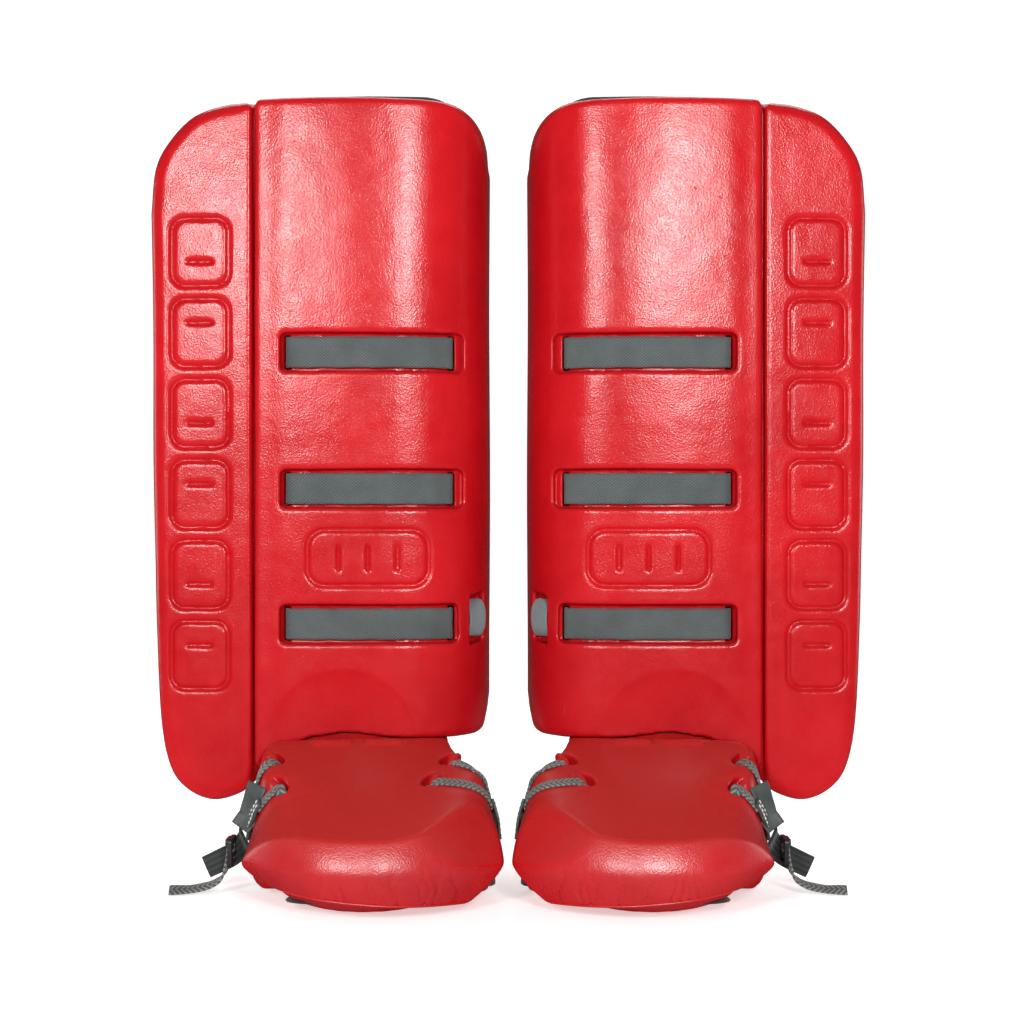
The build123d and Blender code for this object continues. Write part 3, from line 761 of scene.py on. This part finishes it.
def kicker(x, y, z):
    d = kicker_outer(x, y, z)
    toe_share = ease(-58, -92, y)
    bottom = toe_share * (lip_z(x) - 5) + 5 - 5 * ease(-40, 30, y)
    d = meet(d, (bottom - z) * 0.98, 1.0)
    # fine creases towards the lip
    near_lip = ease(44, 20, z) * ease(-120, -140, y)
    for crease_x, depth, width in CREASES:
        off = x - crease_x - 2.0 * np.sin(z * 0.22 + crease_x)
        d = d + 1.5 * depth * near_lip * np.exp(-(off / width) ** 2)
    d = cut(d, np.maximum(polygon(x, y, HOLLOW_PLAN), polygon(y, z, HOLLOW_PROFILE)), 3.0)
    d = cut(d, polygon(y, z, ANKLE), 6.0)
    d = cut(d, polygon(y, z, ARCH), 2.0)
    # each lace hole is a cup with a slot through its floor and a thumb-shaped rise
    for hole_x, hole_y, turn in HOLES:
        top = instep_z(hole_x, hole_y) - 1.0
        a = math.radians(turn)
        u = (x - hole_x) * math.cos(a) + (y - hole_y) * math.sin(a)
        v = -(x - hole_x) * math.sin(a) + (y - hole_y) * math.cos(a)
        cup = (oval((u, 6.2), (v, 12.5), (z - top - 1, 9.0)) - 1) * 5.6
        d = cut(d, cup, 1.4)
        d = cut(d, np.maximum(box(u, v + 3, 2.8, 8, 2.0), np.abs(z - top + 16) - 32), 0.8)
        thumb = oval((u, 3.9), (v - 5.0, 9.0), (z - top - 0.35 * (v - 5) + 1.6, 5.2))
        d = fuse(d, (thumb - 1) * 3.9, 1.2)
    d = cut(d, guard_sweep(x, y, z) - 1.0, 1.0)
    # two plain raised bars at the top of the instep
    for bar_x in (-30, 12):
        rise = z - instep_z(bar_x, BAR_Y) + 0.6 - 0.3 * (y - BAR_Y)
        bar = np.sqrt(np.maximum(np.abs(x - bar_x) - 13, 0) ** 2 + ((y - BAR_Y) * 0.8) ** 2
                      + (rise * 1.1) ** 2) - 3.2
        d = fuse(d, bar, 2.4)
    return d


def relax(vertices, faces, mask, rounds=6):
    """Evens out the vertices chosen by mask."""
    a = np.concatenate([faces[:, i] for i in range(4)])
    b = np.concatenate([faces[:, (i + 1) % 4] for i in range(4)])
    for _ in range(rounds):
        total, hits = np.zeros_like(vertices), np.zeros(len(vertices))
        for here, there in ((a, b), (b, a)):
            np.add.at(total, here, vertices[there])
            np.add.at(hits, here, 1)
        mean = total / np.maximum(hits, 1)[:, None]
        vertices = np.where(mask[:, None], 0.4 * vertices + 0.6 * mean, vertices)
    return vertices


def kicker_mesh():
    V, faces = surface(kicker, (-96, -184, -4), (114, 104, 136), KICKER_CELL)
    outer_toe = (V[:, 0] < -66) & (V[:, 1] < -82) & (V[:, 2] > 22)
    return relax(V, faces, outer_toe), faces


def toe_insert(x, y, z):
    """Domed oval block under the toe, with a bumpy tread."""
    e = oval((x - 5, 66.0), (y + 104, 52.0))
    base = 0.3 + 15.0 * np.clip(e, 0, 1.3) ** 3.2
    tread = 0.7 * np.maximum(np.sin(x * 0.40) * np.sin(y * 0.40), 0)
    d = meet((base + tread - z) * 0.75, (e - 1) * 48, 3.0)
    return meet(d, z - 15.5, 2.0)


def lip_bead():
    """Parting line left by the mould along the lip."""
    line = np.array([(x, toe_front(x, lip_z(x) + 1.0)[1] + 0.2, lip_z(x) + 0.9)
                     for x in np.linspace(-53, 80, 60)])
    return ribbon(resample(line, 1.6), (0, 0.3, 1), width=1.7, thick=1.7, columns=4)[:2]


KICKER_MESH = kicker_mesh()
TOE_MESH = surface(toe_insert, (-66, -160, -3), (76, -48, 20), KICKER_CELL)
LIP_MESH = lip_bead()


# ------------------------------------------------------------------ tapes
def skin_gradient(point):
    """Outward direction at a point near the kicker's skin, and the field's slope there."""
    e = 0.4
    g = np.array([kicker_outer(*(point + d)) - kicker_outer(*(point - d))
                  for d in np.eye(3) * e]) / (2 * e)
    slope = norm(g) + 1e-9
    return g / slope, slope


def lay(points, lift):
    """Path that follows the kicker's skin at a height, with its outward directions."""
    path = fillet_path(points, 8.0)
    for _ in range(5):
        for i in range(len(path)):
            out, slope = skin_gradient(path[i])
            miss = lift - float(kicker_outer(*path[i]))
            path[i] += out * np.clip(miss / max(slope, 0.8), -4, 4)
    soften(path, 6)
    normals = np.array([skin_gradient(p)[0] for p in path])
    for _ in range(3):
        normals[1:-1] = (normals[:-2] + normals[1:-1] + normals[2:]) / 3
    return path, unit(normals)


def on_skin(points, lift, width, thick, lead=(), tail=()):
    """Tape that lies on the kicker's skin. lead and tail are free points before and after."""
    path, normals = lay(points, lift)
    path = np.vstack([*lead, path, *tail])
    normals = np.pad(normals, ((len(lead), len(tail)), (0, 0)), mode="edge")
    even = resample(path, TAPE_STEP)
    normals = sample(path, normals, len(even))
    soften(even, 4)
    side = np.cross(normals, np.gradient(even, axis=0))
    # close to the floor the width turns to lie along y
    low = 0.85 * ease(16, 6, even[:, 2])[:, None]
    side = unit(side) * (1 - low) + np.array([0, 1.0, 0]) * np.sign(side[:, 1:2] + 1e-6) * low
    return ribbon(even, side, width, thick, waver=0.12)


def flat(points, z):
    return [(x, y, z) for x, y in points]


# Level paths (x, y): strap round the guard, elastic behind the leg, strap round the heel
BAND = [(-36.5, 138), (-36.5, 145.9), (-46, 145.9), (-57, 135), (-65, 114), (-65, 66), (-58, 46),
        (-69.2, 4.6), (-64, 0.4), (-20, -1.6), (20, -1.2), (50, 4.4), (66.0, 11.4), (57, 46),
        (65.2, 66), (65.2, 104)]
ELASTIC_PATH = [(62.8, 78), (62.8, 112), (50, 136), (26, 144.9), (5.75, 144.9), (5.75, 138.5)]
HEEL = [(-65.5, 60), (-65.5, 100), (-52, 132), (-20, 144), (20, 144), (52, 132), (65.5, 100),
        (65.5, 60)]
# Light tape in the window: depth into the corner, height from the window's middle
LOOP = [(9.3, -15.0), (5.2, -14.6), (1.6, -9.5), (0.4, 0), (1.6, 9.5), (5.2, 14.6), (9.3, 15.0)]
OUTER_KEEPER = [(-78, -72, 74), (-88, -67, 60), (-93, -62, 46)]
INNER_KEEPER = [(101, -66, 76), (105, -69, 62), (106.5, -71, 46)]


def ankle_loop():
    path = [(86.9 - depth * WINDOW_SIN, 34.2 + depth * WINDOW_COS, WINDOW_Z + rise)
            for depth, rise in LOOP]
    return ribbon(fillet_path(path, 5, 0.7), (WINDOW_COS, WINDOW_SIN, 0), width=20.0, thick=1.5,
                  cup=-0.6, waver=0.12)


def outer_lace():
    return join([
        on_skin([(-75, -42, 102), (-83, -46, 90), (-89, -50, 79), (-90, -53, 70)], lift=1.3,
                width=9.5, thick=1.8, lead=[(-69, -40, 94), (-71, -41, 99)]),
        on_skin([(-68, -77, 90), (-76, -75, 80), (-82, -72, 69)], lift=1.5,
                width=9.5, thick=1.8, lead=[(-62, -78, 80), (-64, -78, 85)])])


def inner_lace():
    return join([
        on_skin([(70, -42, 101), (80, -47, 95), (92, -55, 87), (101, -61, 76)], lift=1.3,
                width=9.5, thick=1.8, lead=[(63, -40, 92), (65, -41, 97)]),
        on_skin([(57, -76, 90), (74, -76, 88), (92, -73, 83), (102, -69, 72)], lift=1.3,
                width=10.0, thick=1.8, lead=[(50, -75, 81), (52, -75, 86)])])


def lace_keepers():
    """A keeper over each pair of laces, and a loose flap on the outer one."""
    flap, _ = lay([(-78, -60, 84), (-84, -63, 72)], 4.0)
    flap = resample(np.vstack([flap, [(-89.5, -66, 63), (-96, -68, 54)]]), TAPE_STEP)
    return join([on_skin(OUTER_KEEPER, lift=3.2, width=11.5, thick=2.4),
                 on_skin(INNER_KEEPER, lift=2.6, width=16.0, thick=2.2),
                 ribbon(flap, (0.52, -0.40, -0.75), width=17.0, thick=1.8, cup=0.6, waver=0.25)])


def sole_strap():
    """Down the inner side and under the foot, then up the outer side."""
    return join([
        on_skin([(101, -66, 66), (105, -64, 50), (106, -60, 36), (103, -50, 20)], lift=1.2,
                width=17.0, thick=1.6,
                tail=[(99, -40, 12), (92, -31, 7.2), (60, -28, 6.0), (0, -27, 6.0),
                      (-60, -26, 6.0), (-80, -28, 7.0), (-88, -38, 15)]),
        on_skin([(-92, -46, 24), (-94, -52, 38), (-92, -54, 52)], lift=1.4,
                width=17.0, thick=1.6, lead=[(-84, -34, 9), (-88, -38, 14)])])


def strap_tail():
    path = [(-104.5, -57, 40), (-106, -58, 27), (-110, -60, 14), (-120, -61, 8.0),
            (-134, -61.5, 5.2), (-152, -62, 4.2)]
    return ribbon(fillet_path(path, 14), (0.35, 0.80, 0.50), width=10.0, thick=2.0, waver=0.5)


def toe_strap():
    """Loose end beside the kicker's outer side, and a short piece under the toe."""
    loose = [(-94.3, -56, 45), (-97, -42, 37), (-106, -36, 27.5), (-127.7, -34, 17)]
    under = [(-52, -112, 9.5), (-49, -124, 10.5), (-40, -133, 11.2), (-26, -136, 11.2)]
    return join([
        ribbon(fillet_path(loose, 6), (-0.38, 0.1, 0.9), width=18.0, thick=2.2, cup=0.6, waver=0.4),
        ribbon(fillet_path(under, 8), (0.2, 0.5, 0.2), width=8.0, thick=1.8)])


def level_tape(points, height, radius, thick, **shape):
    return ribbon(fillet_path(flat(points, height), radius), (0, 0, 1), STRAP_WIDTH, thick, **shape)


# Tapes: name, mesh, material, slot, body. The elastics have no body and stay in place.
# The order sets each tape's random waves.
TAPES = []
for name, height in STRAP_HEIGHTS.items():
    TAPES += [
        (name + "_strap", level_tape(BAND, height, 3.2, thick=1.7, cup=0.15, waver=0.10),
         WEBBING, "webbing", "guard"),
        (name + "_elastic", level_tape(ELASTIC_PATH, height, 4, thick=2.0, waver=0.12),
         ELASTIC, "elastic", None)]
TAPES += [
    ("ankle_loop", ankle_loop(), PALE, "light_webbing", "guard"),
    ("outer_lace", outer_lace(), CORD, "webbing", "kicker"),
    ("inner_lace", inner_lace(), CORD, "webbing", "kicker"),
    ("lace_keepers", lace_keepers(), KEEPER, "keeper", "kicker"),
    ("sole_strap", sole_strap(), WEBBING, "webbing", "kicker"),
    ("strap_tail", strap_tail(), CORD, "webbing", "strap_tail"),
    ("toe_strap", toe_strap(), ELASTIC, "elastic", "kicker"),
    ("heel_strap", level_tape(HEEL, 42.5, 14, thick=2.0, waver=0.15),
     WEBBING, "webbing", "heel_strap")]


def keeper_stitches():
    """Seams on each side of the keepers' middle lines."""
    seams = []
    for line, offset, lift in ((OUTER_KEEPER, 3.9, 4.5), (OUTER_KEEPER, 2.7, 4.5),
                               (INNER_KEEPER, 6.4, 3.8)):
        path, normals = lay(line, lift)
        side = np.cross(normals, unit(np.gradient(path, axis=0)))
        for k in (-offset, offset):
            seams.append(stitches((path + side * k)[1:-1], normals[len(normals) // 2]))
    return join(seams)


STITCH_MESH = keeper_stitches()

# ------------------------------------------------------------------ lining
LINING_Y = 37.4     # front of the shin and knee pads


def cushion(outline, height, edge, thick, rim, groove=0):
    """Crowned pad from its outline's field. rim is the edge's share of the thickness."""
    t = np.clip(-outline / edge, 0, 1)
    top = thick * (rim + (1 - rim) * np.sqrt(1 - (1 - t) ** 2)) - groove
    return meet(meet(outline, (height - top) * 0.8, 1.2), -height, 1.0)


def front_pad(middle_z, half_x, half_z, thick, edge, channels, radius):
    """Pad in front of the leg, bulging towards it, with level grooves."""
    def field(x, y, z):
        pitch = 2 * half_z / channels
        w = np.abs(((z - middle_z + half_z) / pitch) % 1.0 - 0.5) * 2
        groove = 2.2 * np.exp(-((1 - w) * pitch / 5.0) ** 2)
        outline = box(x, z - middle_z, half_x, half_z, radius)
        return cushion(outline, y - LINING_Y, edge, thick, 0.35, groove)
    return surface(field, (-half_x - 4, LINING_Y - 3, middle_z - half_z - 4),
                   (half_x + 4, LINING_Y + thick + 4, middle_z + half_z + 4), PAD_CELL)


def calf_pad(base_x, sign):
    """Pad on a side wall, bulging towards the leg."""
    def field(x, y, z):
        outline = box(y - 84, z - 330, 19.5, 134, 11)
        return cushion(outline, (x - base_x) * sign, edge=8, thick=10.2, rim=0.4)
    low, high = sorted((base_x - 3 * sign, base_x + 14 * sign))
    return surface(field, (low, 60, 190), (high, 108, 470), PAD_CELL)


def lining_rim():
    """Dark binding of the lining that stands a little above the foam's top edge."""
    path = [(-66, 60, 630), (-58, 45, 635), (-46, 39.0, 637.4), (0, 38.6, 638), (46, 39.0, 637.4),
            (58, 45, 635), (66, 60, 630)]
    return ribbon(fillet_path(path, 9, 2.0), (0, 0, 1), width=15.0, thick=2.4)


PADS = {
    "shin_liner": front_pad(329, half_x=45.5, half_z=150, thick=10.5, edge=9.0, channels=6,
                            radius=6),
    "knee_pad": front_pad(560, half_x=47.5, half_z=60, thick=19.5, edge=16, channels=3, radius=18),
    "calf_pads": join([calf_pad(-62, 1), calf_pad(61, -1)])}

# ------------------------------------------------------------------ both legs
HARDWARE = ["buckle_sockets", "ladder_lock", "heel_slider",
            *(f"{name}_{end}" for name in STRAP_HEIGHTS for end in ("tongue", "prongs"))]

for prefix, mirror in SIDES:
    guard_body, kicker_body = prefix + "guard", prefix + "kicker"
    for name, mesh, node, body in (("guard_foam", GUARD_MESH, "guard_shell", guard_body),
                                   ("kicker_foam", KICKER_MESH, "kicker_shell", kicker_body),
                                   ("toe_foam", TOE_MESH, "toe_insert", kicker_body)):
        make(prefix + name, mesh, mirror, FOAM, "foam", [prefix + node], body)
    make(prefix + "lip_bead", LIP_MESH, mirror, FOAM, "foam", body=kicker_body)
    for name, mesh, mat, slot, body in TAPES:
        if body:
            target = {"body": prefix + body}
        else:
            strap = name.split("_")[0]
            height = STRAP_HEIGHTS[strap]
            ends = to_scene([(62, 110, height), (18, 144, height)], mirror)
            target = {"blend": (guard_body, f"{prefix}{strap}_clip", *map(Vector, ends))}
        make(f"{prefix}{name}_tape", mesh, mirror, mat, slot, [prefix + name], **target)
    for name, mesh in PADS.items():
        make(f"{prefix}{name}_soft", mesh, mirror, KNIT, "lining", [prefix + name], guard_body)
    make(prefix + "lining_rim", lining_rim(), mirror, KNIT, "lining", body=guard_body)
    make(prefix + "keeper_stitches", STITCH_MESH, mirror, THREAD, "keeper", body=kicker_body)
    for name in HARDWARE:
        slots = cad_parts[prefix + name].data.materials
        slots.clear()
        slots.append(PLASTIC)


# ------------------------------------------------------------------ floor, light and camera (metres)
def floor_material():
    mat = material("floor")
    block = mat.principled(
        Base_Color=mat.mix(mat.noise(mat.coords(), scale=3),
                           (0.86, 0.86, 0.86, 1), (0.89, 0.89, 0.89, 1)),
        Roughness=0.75, Emission_Color=(1, 1, 1, 1), Emission_Strength=0.52)
    # the sweep is dimmer in reflections, so it doesn't wash out the moulded skin
    dim = mat.node("BsdfDiffuse", {"Color": (0.07, 0.07, 0.07, 1)})
    path = mat.node("LightPath", {})
    both = mat.node("MixShader", {0: path.outputs["Is Glossy Ray"],
                                  1: mat.tree.nodes["Principled BSDF"].outputs[0],
                                  2: dim.outputs[0]})
    mat.feed(mat.tree.nodes["Material Output"], {"Surface": both.outputs[0]})
    return block


def sweep_floor():
    """Floor that curves up into a back wall."""
    half_width, front, bend_start, radius, wall_top = 16, -14.0, 2.4, 1.2, 14.0
    bend = [(bend_start + radius * math.sin(a), radius - radius * math.cos(a))
            for a in np.linspace(0.1, math.pi / 2, 12)]
    profile = [(front, 0.0), (bend_start, 0.0), *bend, (bend_start + radius, wall_top)]
    vertices = [(x, y, z) for y, z in profile for x in (-half_width, half_width)]
    faces = [(2 * i, 2 * i + 1, 2 * i + 3, 2 * i + 2) for i in range(len(profile) - 1)]
    data = bpy.data.meshes.new("floor")
    data.from_pydata(vertices, [], faces)
    data.shade_smooth()
    data.materials.append(floor_material())
    return add_object("floor", data)


def lamp(name, place, aim, size, power):
    light = bpy.data.lights.new(name, "AREA")
    light.shape = "RECTANGLE"
    light.size, light.size_y = size
    light.energy = power
    obj = add_object(name, light)
    obj.location = place
    obj.rotation_euler = (Vector(aim) - Vector(place)).to_track_quat("-Z", "Y").to_euler()
    return obj


def studio_world():
    """White to the camera, but only a faint light on the guards."""
    world = Shader(bpy.data.worlds.new("studio"))
    white = (1, 1, 1, 1)
    dim = world.tree.nodes["Background"]
    world.feed(dim, {"Color": white, "Strength": 0.15})
    seen = world.node("Background", {"Color": white, "Strength": 1.0})
    path = world.node("LightPath", {})
    both = world.node("MixShader", {0: path.outputs["Is Camera Ray"], 1: dim.outputs[0],
                                    2: seen.outputs[0]})
    world.feed(world.tree.nodes["World Output"], {"Surface": both.outputs[0]})
    return world.block


floor = sweep_floor()
SOFTBOX, RIM_BOX = (0.26, 0.42), (0.8, 1.0)
lights = [
    lamp("key", (0.40, -2.1, 0.88), aim=(0.05, 0, 0.35), size=SOFTBOX, power=28),
    lamp("fill", (-0.80, -2.0, 0.86), aim=(-0.05, 0, 0.35), size=SOFTBOX, power=22),
    lamp("top", (0.0, 1.3, 2.4), aim=(0, 0, 0.1), size=(2.2, 1.0), power=26),
    lamp("rim_left", (-2.2, 0.9, 0.5), aim=(0, 0.1, 0.35), size=RIM_BOX, power=6),
    lamp("rim_right", (2.2, 0.9, 0.5), aim=(0, 0.1, 0.35), size=RIM_BOX, power=6)]
scene = bpy.context.scene
scene.world = studio_world()
scene.view_settings.view_transform = "Standard"

camera = bpy.data.cameras.new("camera")
camera.lens = 64.9
camera.sensor_width = 36.0
scene.camera = add_object("camera", camera)
scene.camera.location = (0.003, -1.491, 0.299)
scene.camera.rotation_euler = (math.radians(90), 0, 0)
